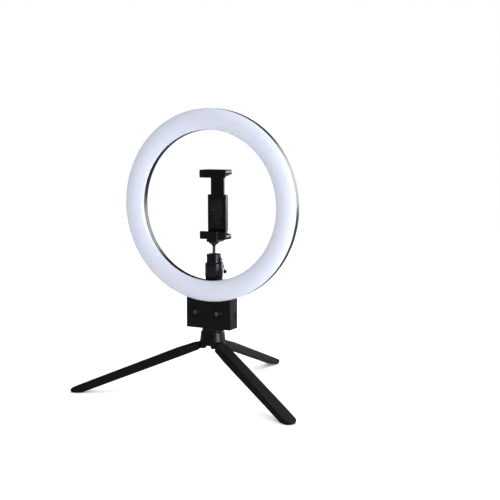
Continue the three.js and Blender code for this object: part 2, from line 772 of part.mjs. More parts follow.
function makeLeg(name) {
  const undersideZ = -legKnuckleR;
  const footStart =
    (pivotZ - footStep - legKnuckleR * Math.cos(legSpread)) / Math.sin(legSpread);
  const side = new THREE.Shape();
  side.absarc(0, 0, legKnuckleR, Math.PI / 2, 1.5 * Math.PI);
  side.lineTo(footStart, undersideZ);
  const noseU = legLength - noseLength;
  const noseTop = legTipRise + ((legHipRise - legTipRise) * noseLength) / (legLength - legHipLength);
  side.lineTo(noseU, floorCut(noseU, footStep));
  const noseMiddle = (floorCut(legLength, footStep) + legTipRise) / 2;
  side.quadraticCurveTo(legLength, floorCut(legLength, footStep), legLength, noseMiddle);
  side.quadraticCurveTo(legLength, legTipRise, noseU, noseTop);
  side.lineTo(legHipLength, legHipRise);
  side.lineTo(legShoulder, legKnuckleR + 0.4);

  const tip = legTipWidth / 2;
  const plan = new THREE.Shape();
  plan.moveTo(-2 * legKnuckleR, -legTongue / 2);
  plan.lineTo(legShoulder, -legTongue / 2);
  plan.lineTo(legShoulder, -legShoulderWidth / 2);
  plan.lineTo(legHipLength, -legHipWidth / 2);
  plan.lineTo(legLength - tip, -tip);
  plan.absarc(legLength - tip, 0, tip, -Math.PI / 2, Math.PI / 2);
  plan.lineTo(legHipLength, legHipWidth / 2);
  plan.lineTo(legShoulder, legShoulderWidth / 2);
  plan.lineTo(legShoulder, legTongue / 2);
  plan.lineTo(-2 * legKnuckleR, legTongue / 2);

  const half = legHipWidth / 2;
  const section = outline([
    [-half, -legKnuckleR - 1],
    [half, -legKnuckleR - 1],
    [half, legHipRise - legChamfer],
    [half - legChamfer, legHipRise + 0.1],
    [legChamfer - half, legHipRise + 0.1],
    [-half, legHipRise - legChamfer],
  ]);
  const reach = [-2 * legKnuckleR, legLength + 1];
  const padCut = padBox(0, fit).translate([-pivotR, 0, -pivotZ]);
  const toLegFrame = THREE.MathUtils.radToDeg(-legSpread);
  const shape = prismY(side, [-half, half])
    .intersect(prismZ(plan, [-2 * legHipRise, 2 * legHipRise]))
    .intersect(prismX(section, reach))
    .subtract(rodX(pinR + fit, [-legTongue, legTongue], 14).rotate([0, 0, 90]))
    .subtract(padCut.rotate([0, toLegFrame, 0]));
  const mesh = piece(name, shape, blackPlastic);
  mesh.rotation.y = legSpread;
  mesh.position.set(pivotR, 0, pivotZ);
  return mesh;
}

function padBox(bottom, clearance) {
  const footStart =
    (pivotZ - footStep - legKnuckleR * Math.cos(legSpread)) / Math.sin(legSpread);
  const startX =
    pivotR + footStart * Math.cos(legSpread) - legKnuckleR * Math.sin(legSpread) + 1.6;
  const half = footPadWidth / 2 + clearance;
  return box(
    [startX - clearance, startX + footPadLength + clearance],
    [-half, half],
    [bottom - 2 * clearance, footPadThickness + clearance],
  );
}

function makeTripod() {
  const tripod = group(makeHub(), makeHubPad(), makeStud());
  for (const [side, azimuth] of Object.entries(legAzimuth)) {
    const pin = rodX(pinR, [-pinLength / 2, pinLength / 2], 14).rotate([0, 0, 90]);
    const leg = group(
      makeLeg(`leg_${side}`),
      piece(`foot_pad_${side}`, padBox(0, 0), blackRubber),
      piece(`leg_pin_${side}`, pin.translate([pivotR, 0, pivotZ]), steel),
    );
    leg.rotation.z = THREE.MathUtils.degToRad(azimuth);
    tripod.add(leg);
  }
  tripod.rotation.z = THREE.MathUtils.degToRad(standTurn);
  return tripod;
}

// Ball head, on a stud through the box's round seat: Z is measured from the box's top and Y from its
// own axis.
function makeHeadStud() {
  const headZ = headStudZ();
  const head = rodZ(headStudHeadR, [headZ, headZ + headStudHeadHeight], 6);
  const shank = rodZ(studR, [headZ + 1, cupFloorZ() - fit], 16);
  return piece("head_stud", head.add(shank), steel);
}

function makeWheel() {
  const points = [];
  for (let i = 0; i < 2 * wheelRidges; i++) {
    const r = wheelR - (i % 2) * 0.5;
    points.push(onRing(r, (i * Math.PI) / wheelRidges));
  }
  const shape = prismZ(outline(points), [wheelZ, wheelZ + wheelHeight]);
  const bore = rodZ(studR + fit, [0, housingZ], 20);
  return piece("head_lock_wheel", shape.subtract(bore), anodised);
}

function makeHousing() {
  const lipZ = ballZ + Math.sqrt((ballR + fit) ** 2 - ballLipR ** 2);
  const body = turnedZ(
    [
      [0, housingZ],
      [housingR - 0.6, housingZ],
      [housingR, housingZ + 0.6],
      [housingR, collarZ - housingStep],
      [collarR + 0.6, collarZ],
      [collarR, collarZ + 0.6],
      [collarR, rimZ - 0.5],
      [collarR - 0.4, rimZ],
      [0, rimZ],
    ],
    28,
  );
  const bore = turnedZ(
    [
      [0, cupFloorZ()],
      [ballR + fit, cupFloorZ()],
      [ballR + fit, ballZ],
      [ballR + fit * 0.6, ballZ + ballR * 0.2],
      [ballLipR, lipZ],
      [ballLipR, lipZ + 0.6],
      [ballMouthR, rimZ],
      [ballMouthR, rimZ + 1],
      [0, rimZ + 1],
    ],
    28,
  );
  const boss = rodX(leverBossR, [collarR - 3, leverBossX], 20).translate([0, 0, leverZ]);
  const screwHole = rodX(lockScrewR + fit, [0, leverBossX + 1], 14).translate([0, 0, leverZ]);
  const studHole = rodZ(studR + fit, [0, cupFloorZ() + 0.5], 20);
  const shape = body.add(boss).subtract(bore).subtract(screwHole).subtract(studHole);
  return piece("ball_housing", shape, anodised);
}

function cupFloorZ() {
  return ballZ - ballR - 5;
}

function makeCup() {
  const topZ = leverZ - lockScrewR - fit;
  const hollow = solid(new THREE.SphereGeometry(ballR + fit, 18, 12)).translate([0, 0, ballZ]);
  const shape = rodZ(ballR, [cupFloorZ() + seat, topZ], 28).subtract(hollow);
  return piece("ball_cup", shape, nylon);
}

function makeBall() {
  const ball = new THREE.SphereGeometry(ballR, 20, 12).rotateX(Math.PI / 2);
  const mesh = piece("ball", solid(ball), chrome);
  mesh.position.z = ballZ;
  return mesh;
}

function makeStem() {
  const coneTop = stemHeight - flangeHeight;
  const shape = turnedZ(
    [
      [0, ballR + fit],
      [stemR, ballR + fit],
      [stemR, coneTop - stemConeHeight],
      [flangeR, coneTop],
      [flangeR, stemHeight],
      [studR, stemHeight],
      [studR, stemHeight + studEngagement],
      [0, stemHeight + studEngagement],
    ],
    20,
  );
  const mesh = piece("ball_stem", shape, chrome);
  mesh.position.z = ballZ;
  return mesh;
}

function makeLever() {
  const hubX = [leverBossX + fit, leverBossX + fit + 2.6];
  const endX = hubX[1] + leverOut - leverThickness;
  const arm = outline([
    [hubX[0] + 0.2, 1.6],
    [hubX[0] + 0.2, -1.6],
    [endX, -leverReach],
    [endX + leverThickness, -leverReach],
    [hubX[1], 1.6],
  ]);
  const armSolid = prismY(arm, [-leverWidth / 2, leverWidth / 2]).add(rodX(3.2, hubX, 20));
  const bored = armSolid.subtract(rodX(lockScrewR + fit, [0, hubX[1] - 0.8], 14));
  const tipX = endX + leverThickness / 2;
  const grip = turnedZ(
    [
      [0, -leverReach - seat - gripLength],
      [gripR * 0.7, -leverReach - seat - gripLength],
      [gripR, -leverReach - seat - gripLength * 0.75],
      [gripR, -leverReach - seat - 0.6],
      [gripR - 0.6, -leverReach - seat],
      [0, -leverReach - seat],
    ],
    16,
  ).translate([tipX, 0, 0]);
  const screw = rodX(lockScrewR, [ballR + fit, hubX[1] - 1], 14);
  const lever = group(
    piece("lever_arm", bored, chrome),
    piece("lever_grip", grip, blackPlastic),
    piece("lock_screw", screw, steel),
  );
  lever.position.z = leverZ;
  return lever;
}

// Phone clamp: Z is measured from the stem flange's top.
function jawShape(z, lipZ, backY) {
  const half = jawWidth / 2;
  const slab = prismY(roundedRect([-half, half], z, jawCornerR), [jawFrontY, backY]);
  const front = roundedRect([-half, half], lipZ, jawCornerR);
  const plan = roundedRect([-half, half], [jawFrontY, backY], jawCornerR);
  const tall = [Math.min(z[0], lipZ[0]) - 1, Math.max(z[1], lipZ[1]) + 1];
  return slab.add(prismY(front, [jawFrontY, jawFrontY + lipY])).intersect(prismZ(plan, tall));
}

const clampScrews = [
  [-1, 6],
  [1, 6],
  [-1, spineHeight - 4],
  [1, spineHeight - 4],
].map(([side, up]) => [side * (spineWidth - spineSideWall) / 2, phoneLowZ + up]);

function makeClampBase() {
  const half = spineWidth / 2;
  const cavityHalf = half - spineSideWall;
  const jaw = jawShape([jawLowZ, jawFaceZ], [jawLowZ, phoneLowZ + jawLip], jawBackY);
  const spine = box([-half, half], [spineFrontY, coverY - seat], [jawLowZ + 1, spineTopZ]);
  const block = prismZ(
    roundedRect(
      [-clampBlockWidth / 2, clampBlockWidth / 2],
      [clampBlockFrontY, clampBlockBackY],
      2.5,
    ),
    [clampBlockZ, phoneLowZ + jawLip],
  ).subtract(box([-half, half], [jawFrontY + lipY, boxDepth], [jawFaceZ, spineTopZ]));
  const cavity = box(
    [-cavityHalf, cavityHalf],
    [cavityY, coverY + 1],
    [cavityFloorZ, spineTopZ + 1],
  );
  const coverSeat = box(
    [-half - seat, half + seat],
    [coverY - seat, clampBackY + 1],
    [coverLowZ() - seat, spineTopZ + 1],
  );
  let shape = jaw.add(spine).add(block).subtract(cavity).subtract(coverSeat);
  shape = shape.subtract(rodZ(clampNutR + fit, [-1, nutTopZ() + fit], 20));
  for (const [x, z] of clampScrews) {
    const hole = rodY(clampScrewR + 0.2, [coverY - clampScrewLength, clampBackY + 1], 8);
    shape = shape.subtract(hole.translate([x, 0, z]));
  }
  return piece("clamp_base", shape, blackPlastic);
}

function nutTopZ() {
  return jawFaceZ - 1.2;
}

function coverLowZ() {
  return phoneLowZ + 2;
}

function makeBackCover() {
  const half = spineWidth / 2;
  let shape = prismY(
    roundedRect([-half, half], [coverLowZ(), spineTopZ], 1.5),
    [coverY, clampBackY],
  );
  for (const [x, z] of clampScrews) {
    const hole = rodY(clampScrewR + 0.2, [coverY - 1, clampBackY + 1], 8);
    const recess = rodY(clampScrewHeadR + 0.2, [clampBackY - 0.8, clampBackY + 1], 10);
    shape = shape.subtract(hole.add(recess).translate([x, 0, z]));
  }
  return piece("clamp_back_cover", shape, blackPlastic);
}

function clampScrew(index, x, z) {
  const headBack = clampBackY - 0.6;
  const shape = turnedY(
    [
      [0, coverY - clampScrewLength + 0.5],
      [clampScrewR, coverY - clampScrewLength + 0.5],
      [clampScrewR, headBack],
      [clampScrewHeadR, headBack],
      [clampScrewHeadR, headBack + 0.4],
      [clampScrewHeadR * 0.6, headBack + 0.8],
      [0, headBack + 0.8],
    ],
    8,
  );
  const mesh = piece(`clamp_screw_${index}`, shape, darkSteel);
  mesh.position.set(x, 0, z);
  return mesh;
}

function makeSlider() {
  const topZ = upperJawZ + jawThickness;
  const backY = clampBackY + upperJawOverhang;
  const jaw = jawShape([upperJawZ, topZ], [phoneHighZ - jawLip, topZ], backY);
  const half = spineWidth / 2 - spineSideWall - fit;
  const tongueY = [cavityY + fit, cavityY + fit + tongueThickness];
  const tongue = box([-half, half], tongueY, [tongueBottomZ, upperJawZ + 1]);
  return piece("clamp_slider", jaw.add(tongue), blackPlastic);
}

function jawPadBox(z) {
  const half = jawWidth / 2 - jawPadInset;
  return box([-half, half], [jawFrontY + lipY + seat, spineFrontY - seat], z);
}

function makeSpring(name, x) {
  const low = cavityFloorZ + fit;
  const high = tongueBottomZ - fit;
  const turnSteps = 8;
  const points = [];
  for (let i = 0; i <= springTurns * turnSteps; i++) {
    const share = i / (springTurns * turnSteps);
    const [dx, dy] = onRing(springR, share * springTurns * 2 * Math.PI);
    const z = low + springWireR + share * (high - low - 2 * springWireR);
    points.push(new THREE.Vector3(dx, dy, z));
  }
  const section = outline([0, 1, 2, 3].map((k) => onRing(springWireR, (k * Math.PI) / 2)));
  const coil = new THREE.ExtrudeGeometry(section, {
    steps: springTurns * turnSteps,
    bevelEnabled: false,
    extrudePath: new THREE.CatmullRomCurve3(points),
  });
  const mesh = piece(name, solid(coil), steel);
  mesh.position.set(x, cavityY + cavityDepth / 2, 0);
  return mesh;
}

function makeClamp() {
  const nut = makeInsert("clamp_nut", clampNutR, nutTopZ() - clampBlockZ - seat, brass);
  nut.position.z = clampBlockZ + seat;
  const spinePad = prismY(
    roundedRect([-spineWidth / 2 + 4, spineWidth / 2 - 4], [phoneLowZ + 6, spineTopZ - 6], 2),
    [spineFrontY - seat - spinePadThickness, spineFrontY - seat],
  );
  const clamp = group(
    makeClampBase(),
    makeBackCover(),
    makeSlider(),
    piece("lower_jaw_pad", jawPadBox([jawFaceZ + seat, phoneLowZ]), blackRubber),
    piece("upper_jaw_pad", jawPadBox([phoneHighZ, phoneHighZ + jawPad]), blackRubber),
    piece("spine_pad", spinePad, blackRubber),
    makeSpring("clamp_spring_left", -springX),
    makeSpring("clamp_spring_right", springX),
    nut,
  );
  clampScrews.forEach(([x, z], i) => clamp.add(clampScrew(i + 1, x, z)));
  clamp.position.z = flangeZ;
  return clamp;
}

function makeBallHead() {
  const ballHead = group(
    makeHeadStud(),
    makeWheel(),
    makeHousing(),
    makeCup(),
    makeBall(),
    makeStem(),
    makeLever(),
    makeClamp(),
  );
  ballHead.position.set(0, ballAxisY, boxHeight);
  return ballHead;
}

// The whole light, with the ring head standing on the tripod's stud.
const ring = makeRing();
ring.position.z = ringCentreZ;
const head = group(makeControlBox(), ring, makeBallHead());
head.position.z = boxBottomZ;
const standing = group(makeTripod(), head);
const ringLight = group(standing);

// The origin sits under the middle of the footprint.
const footprint = new THREE.Box3().setFromObject(standing);
const middle = footprint.getCenter(new THREE.Vector3());
standing.position.set(-middle.x, -middle.y, 0);

export default ringLight;
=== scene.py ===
import json
import math
import bpy
from mathutils import Matrix, Vector


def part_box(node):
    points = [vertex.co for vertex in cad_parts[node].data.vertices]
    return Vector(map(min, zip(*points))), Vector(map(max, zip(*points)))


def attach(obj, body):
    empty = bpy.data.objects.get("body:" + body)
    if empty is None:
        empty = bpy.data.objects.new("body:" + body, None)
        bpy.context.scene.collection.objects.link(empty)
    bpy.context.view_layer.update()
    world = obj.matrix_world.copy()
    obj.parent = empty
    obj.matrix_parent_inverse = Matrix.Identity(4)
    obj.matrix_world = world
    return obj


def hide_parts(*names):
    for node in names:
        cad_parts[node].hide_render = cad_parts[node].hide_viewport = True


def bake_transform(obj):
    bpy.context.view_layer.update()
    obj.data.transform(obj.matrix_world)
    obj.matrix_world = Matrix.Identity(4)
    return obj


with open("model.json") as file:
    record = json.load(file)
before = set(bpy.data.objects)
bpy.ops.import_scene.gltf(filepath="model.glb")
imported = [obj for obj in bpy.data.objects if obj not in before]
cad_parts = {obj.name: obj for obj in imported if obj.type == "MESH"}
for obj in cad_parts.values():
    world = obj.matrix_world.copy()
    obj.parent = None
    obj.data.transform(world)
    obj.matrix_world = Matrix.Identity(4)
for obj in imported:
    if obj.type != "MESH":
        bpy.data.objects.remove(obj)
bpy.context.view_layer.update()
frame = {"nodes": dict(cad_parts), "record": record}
mm = 0.001
record = frame["record"]
bodyOf = {node: body for body, nodes in record["behaviour"]["bodies"].items() for node in nodes}
slotOf = {part["node"]: part["material_slot"] for part in record["subparts"]}
print("frame loaded")


# small helpers for picking, shaping and placing

def startClean():
    active = bpy.context.view_layer.objects.active
    if active and active.mode != "OBJECT":
        bpy.ops.object.mode_set(mode="OBJECT")
    bpy.ops.object.select_all(action="DESELECT")


def pick(piece):
    startClean()
    piece.select_set(True)
    bpy.context.view_layer.objects.active = piece
    return piece


def settle(piece, turn=None):
    pick(piece)
    if turn is not None:
        piece.matrix_world = turn
    bpy.ops.object.transform_apply(location=True, rotation=True, scale=True)
    return piece


def named(name):
    piece = bpy.context.view_layer.objects.active
    piece.name = name
    piece.data.name = name
    return piece


def applyModifier(piece, kind, **values):
    pick(piece)
    bpy.ops.object.modifier_add(type=kind)
    modifier = piece.modifiers[-1]
    for key, value in values.items():
        setattr(modifier, key, value)
    bpy.ops.object.modifier_apply(modifier=modifier.name)
    return piece


def roundEdges(piece, width, segments=2, angle=32):
    return applyModifier(piece, "BEVEL", width=width, segments=segments, limit_method="ANGLE",
                         angle_limit=math.radians(angle), use_clamp_overlap=True, harden_normals=False)


def smoothShade(piece, angle=32):
    pick(piece)
    bpy.ops.object.shade_smooth_by_angle(angle=math.radians(angle))
    return piece


def evenShade(piece, angle=32):  # flat faces stay flat beside their rounded edges
    smoothShade(piece, angle)
    return applyModifier(piece, "WEIGHTED_NORMAL", keep_sharp=True, weight=100, mode="FACE_AREA")


def selectFaces(piece, test):
    pick(piece)
    bpy.ops.object.mode_set(mode="EDIT")
    bpy.ops.mesh.select_mode(type="FACE")
    bpy.ops.mesh.select_all(action="DESELECT")
    bpy.ops.object.mode_set(mode="OBJECT")
    for face in piece.data.polygons:
        face.select = test(face)
    bpy.ops.object.mode_set(mode="EDIT")


def closeEdit():
    bpy.ops.object.mode_set(mode="OBJECT")


def cutWith(piece, cutter, operation="DIFFERENCE"):
    pick(piece)
    bpy.ops.object.modifier_add(type="BOOLEAN")
    modifier = piece.modifiers[-1]
    modifier.operation = operation
    modifier.object = cutter
    modifier.solver = "EXACT"
    bpy.ops.object.modifier_apply(modifier=modifier.name)
    pick(cutter)
    bpy.ops.object.delete()
    return piece


def joined(first, *others):
    startClean()
    for other in others:
        other.select_set(True)
    first.select_set(True)
    bpy.context.view_layer.objects.active = first
    bpy.ops.object.join()
    return first


def spun(name, outline, steps, closed=False):  # a chain of points carried round Z
    bpy.ops.object.select_all(action="DESELECT")
    bpy.ops.mesh.primitive_plane_add(size=1 * mm, location=(0, 0, 0))
    piece = named(name)
    bpy.ops.object.mode_set(mode="EDIT")
    bpy.ops.mesh.select_mode(type="VERT")
    bpy.ops.mesh.select_all(action="SELECT")
    bpy.ops.mesh.merge(type="CENTER")
    at = outline[0]
    bpy.ops.transform.translate(value=(at[0] * mm, 0, at[1] * mm))
    for point in list(outline[1:]) + ([outline[0]] if closed else []):
        step = ((point[0] - at[0]) * mm, 0, (point[1] - at[1]) * mm)
        bpy.ops.mesh.extrude_region_move(TRANSFORM_OT_translate={"value": step})
        at = point
    bpy.ops.mesh.select_all(action="SELECT")
    bpy.ops.mesh.remove_doubles(threshold=0.001 * mm)
    bpy.ops.mesh.select_all(action="SELECT")
    bpy.ops.mesh.spin(steps=steps, angle=2 * math.pi, center=(0, 0, 0), axis=(0, 0, 1))
    bpy.ops.mesh.select_all(action="SELECT")
    bpy.ops.mesh.remove_doubles(threshold=0.002 * mm)
    bpy.ops.mesh.select_all(action="SELECT")
    bpy.ops.mesh.normals_make_consistent(inside=False)
    closeEdit()
    return piece


def placed(piece, centre, axis="Z"):  # the piece's own Z is laid along the axis
    turn = {"Z": Matrix.Identity(4), "Y": Matrix.Rotation(math.radians(-90), 4, "X"),
            "-Y": Matrix.Rotation(math.radians(90), 4, "X"), "X": Matrix.Rotation(math.radians(90), 4, "Y")}[axis]
    return settle(piece, Matrix.Translation(Vector(centre)) @ turn)


def rod(radius, low, high, centre, axis, sides=32):
    bpy.ops.object.select_all(action="DESELECT")
    bpy.ops.mesh.primitive_cylinder_add(vertices=sides, radius=radius * mm, depth=(high - low) * mm,
                                        location=(0, 0, (low + high) / 2 * mm))
    piece = named("rod")
    settle(piece)
    return placed(piece, centre, axis)


def block(name, low, high):
    bpy.ops.object.select_all(action="DESELECT")
    centre = [(a + b) / 2 for a, b in zip(low, high)]
    bpy.ops.mesh.primitive_cube_add(size=1, location=centre)
    piece = named(name)
    piece.scale = [b - a for a, b in zip(low, high)]
    return settle(piece)


def copied(source, name, shift):
    piece = bpy.data.objects.new(name, source.data.copy())
    bpy.context.collection.objects.link(piece)
    piece.location = shift
    return settle(piece)


def refined(node, name, width, segments=2, angle=32):  # a CAD node's shape with its edges rounded
    piece = bpy.data.objects.new(name, frame["nodes"][node].data.copy())
    bpy.context.collection.objects.link(piece)
    piece.data.materials.clear()
    pick(piece)
    bpy.ops.object.mode_set(mode="EDIT")
    bpy.ops.mesh.select_all(action="SELECT")
    bpy.ops.mesh.remove_doubles(threshold=0.004 * mm)
    bpy.ops.mesh.select_all(action="SELECT")
    bpy.ops.mesh.dissolve_limited(angle_limit=math.radians(0.6))
    closeEdit()
    if width:
        roundEdges(piece, width * mm, segments, angle)
    return evenShade(piece, angle)


def middle(node):
    low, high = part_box(node)
    return (low + high) / 2


# shader groups that the finishes share

def newGroup(name, inputs, outputs):
    group = bpy.data.node_groups.new(name, "ShaderNodeTree")
    for label, value in inputs.items():
        socket = group.interface.new_socket(name=label, in_out="INPUT", socket_type="NodeSocketFloat")
        socket.default_value = value
    for label in outputs:
        group.interface.new_socket(name=label, in_out="OUTPUT", socket_type="NodeSocketFloat")
    return group, group.nodes.new("NodeGroupInput"), group.nodes.new("NodeGroupOutput")


def noiseNode(tree, vector, scale, detail=3.0, rough=0.5):
    node = tree.nodes.new("ShaderNodeTexNoise")
    node.inputs["Detail"].default_value = detail
    node.inputs["Roughness"].default_value = rough
    tree.links.new(vector, node.inputs["Vector"])
    if isinstance(scale, (int, float)):
        node.inputs["Scale"].default_value = scale
    else:
        tree.links.new(scale, node.inputs["Scale"])
    return node.outputs["Fac"]


def mathNode(tree, operation, first, second):
    node = tree.nodes.new("ShaderNodeMath")
    node.operation = operation
    for socket, value in zip(node.inputs, (first, second)):
        if isinstance(value, (int, float)):
            socket.default_value = value
        else:
            tree.links.new(value, socket)
    return node.outputs[0]


def rangeNode(tree, value, fromLow, fromHigh, toLow, toHigh):
    node = tree.nodes.new("ShaderNodeMapRange")
    for label, setting in (("Value", value), ("From Min", fromLow), ("From Max", fromHigh),
                           ("To Min", toLow), ("To Max", toHigh)):
        if isinstance(setting, (int, float)):
            node.inputs[label].default_value = setting
        else:
            tree.links.new(setting, node.inputs[label])
    return node.outputs["Result"]


def stretchedCoords(tree, scale):
    coords = tree.nodes.new("ShaderNodeTexCoord")
    mapping = tree.nodes.new("ShaderNodeMapping")
    mapping.inputs["Scale"].default_value = scale
    tree.links.new(coords.outputs["Object"], mapping.inputs["Vector"])
    return mapping.outputs["Vector"]


def buildGrain():  # moulded texture: a soft cloud under a fine pebble
    group, enter, leave = newGroup(
        "mouldedGrain", {"Cloud Scale": 90.0, "Pebble Scale": 900.0, "Pebble Share": 0.7}, ["Cloud", "Height"])
    coords = stretchedCoords(group, (1, 1, 1))
    cloud = noiseNode(group, coords, enter.outputs["Cloud Scale"], 4.0, 0.6)
    pebble = noiseNode(group, coords, enter.outputs["Pebble Scale"], 2.5, 0.55)
    share = enter.outputs["Pebble Share"]
    rest = mathNode(group, "SUBTRACT", 1.0, share)
    height = mathNode(group, "ADD", mathNode(group, "MULTIPLY", pebble, share),
                      mathNode(group, "MULTIPLY", cloud, rest))
    group.links.new(cloud, leave.inputs["Cloud"])
    group.links.new(height, leave.inputs["Height"])
    return group


def buildScuffs():  # thin handling marks in patches
    group, enter, leave = newGroup("handlingScuffs", {"Mark Scale": 260.0, "Amount": 0.5}, ["Scuff"])
    marks = noiseNode(group, stretchedCoords(group, (1.0, 0.9, 0.12)), enter.outputs["Mark Scale"], 3.0, 0.65)
    patches = noiseNode(group, stretchedCoords(group, (1, 1, 1)), 34.0, 2.0)
    thin = rangeNode(group, marks, 0.60, 0.72, 0.0, 1.0)
    patch = rangeNode(group, patches, 0.50, 0.66, 0.0, 1.0)
    scuff = mathNode(group, "MULTIPLY", mathNode(group, "MULTIPLY", thin, patch), enter.outputs["Amount"])
    group.links.new(scuff, leave.inputs["Scuff"])
    return group


def buildDust():  # settles on what faces up
    group, enter, leave = newGroup("lightDust", {"Amount": 0.3}, ["Dust"])
    geometry = group.nodes.new("ShaderNodeNewGeometry")
    split = group.nodes.new("ShaderNodeSeparateXYZ")
    group.links.new(geometry.outputs["Normal"], split.inputs[0])
    facing = rangeNode(group, split.outputs["Z"], 0.35, 1.0, 0.0, 1.0)
    specks = noiseNode(group, stretchedCoords(group, (1, 1, 1)), 480.0, 4.0, 0.7)
    speckle = rangeNode(group, specks, 0.42, 0.75, 0.15, 1.0)
    dust = mathNode(group, "MULTIPLY", mathNode(group, "MULTIPLY", facing, speckle), enter.outputs["Amount"])
    group.links.new(dust, leave.inputs["Dust"])
    return group


def buildToolMarks():  # the fine rings a lathe leaves, or the lines of a brush
    group, enter, leave = newGroup("toolMarks", {"Line Scale": 900.0}, ["Line"])
    lines = noiseNode(group, stretchedCoords(group, (0.02, 0.02, 1.0)), enter.outputs["Line Scale"], 2.0, 0.6)
    group.links.new(lines, leave.inputs["Line"])
    return group


grainGroup = buildGrain()
scuffGroup = buildScuffs()
dustGroup = buildDust()
toolGroup = buildToolMarks()


def placeGroup(tree, group, **values):
    node = tree.nodes.new("ShaderNodeGroup")
    node.node_tree = group
    for label, value in values.items():
        node.inputs[label.replace("_", " ")].default_value = value
    return node


def mixColour(tree, factor, first, second):
    node = tree.nodes.new("ShaderNodeMix")
    node.data_type = "RGBA"
    tree.links.new(factor, node.inputs["Factor"])
    for socket, value in ((node.inputs[6], first), (node.inputs[7], second)):
        if isinstance(value, tuple):
            socket.default_value = (*value, 1)
        else:
            tree.links.new(value, socket)
    return node.outputs[2]


def makeFinish(name, look):
    material = bpy.data.materials.new(name)
    material.use_nodes = True
    tree = material.node_tree
    shader = tree.nodes["Principled BSDF"]
    for label, value in look.get("shader", {}).items():
        shader.inputs[label].default_value = value
    grain = placeGroup(tree, grainGroup, Cloud_Scale=look["cloud"], Pebble_Scale=look["pebble"],
                       Pebble_Share=look.get("pebbleShare", 0.7))
    scuff = placeGroup(tree, scuffGroup, Mark_Scale=260.0, Amount=look.get("scuffs", 0.4))
    dust = placeGroup(tree, dustGroup, Amount=look.get("dust", 0.2))
    cloud, height = grain.outputs["Cloud"], grain.outputs["Height"]
    spread = rangeNode(tree, height if look.get("speckled") else cloud, 0.34, 0.66, 0.0, 1.0)
    colour = mixColour(tree, spread, look["dark"], look["light"])
    colour = mixColour(tree, scuff.outputs["Scuff"], colour, look["worn"])
    colour = mixColour(tree, dust.outputs["Dust"], colour, look.get("dustColour", (0.35, 0.34, 0.33)))
    low, high = look["roughness"]
    rough = rangeNode(tree, cloud, 0.3, 0.7, low, high)
    scuffRough = mathNode(tree, "MULTIPLY", scuff.outputs["Scuff"], 0.12)
    rough = mathNode(tree, "ADD", rough, scuffRough)
    if look.get("lines"):
        tool = placeGroup(tree, toolGroup, Line_Scale=look["lines"])
        height = mathNode(tree, "ADD", mathNode(tree, "MULTIPLY", height, 0.3),
                          mathNode(tree, "MULTIPLY", tool.outputs["Line"], 0.7))
        rough = mathNode(tree, "ADD", rough, rangeNode(tree, tool.outputs["Line"], 0.3, 0.7, -0.05, 0.07))
    bump = tree.nodes.new("ShaderNodeBump")
    bump.inputs["Strength"].default_value = look["bump"]
    bump.inputs["Distance"].default_value = look.get("bumpDepth", 0.1) * mm
    tree.links.new(height, bump.inputs["Height"])
    tree.links.new(bump.outputs["Normal"], shader.inputs["Normal"])
    tree.links.new(colour, shader.inputs["Base Color"])
    tree.links.new(rough, shader.inputs["Roughness"])
    if look.get("glow"):
        tree.links.new(colour, shader.inputs["Emission Color"])
        shader.inputs["Emission Strength"].default_value = look["glow"]
    return material


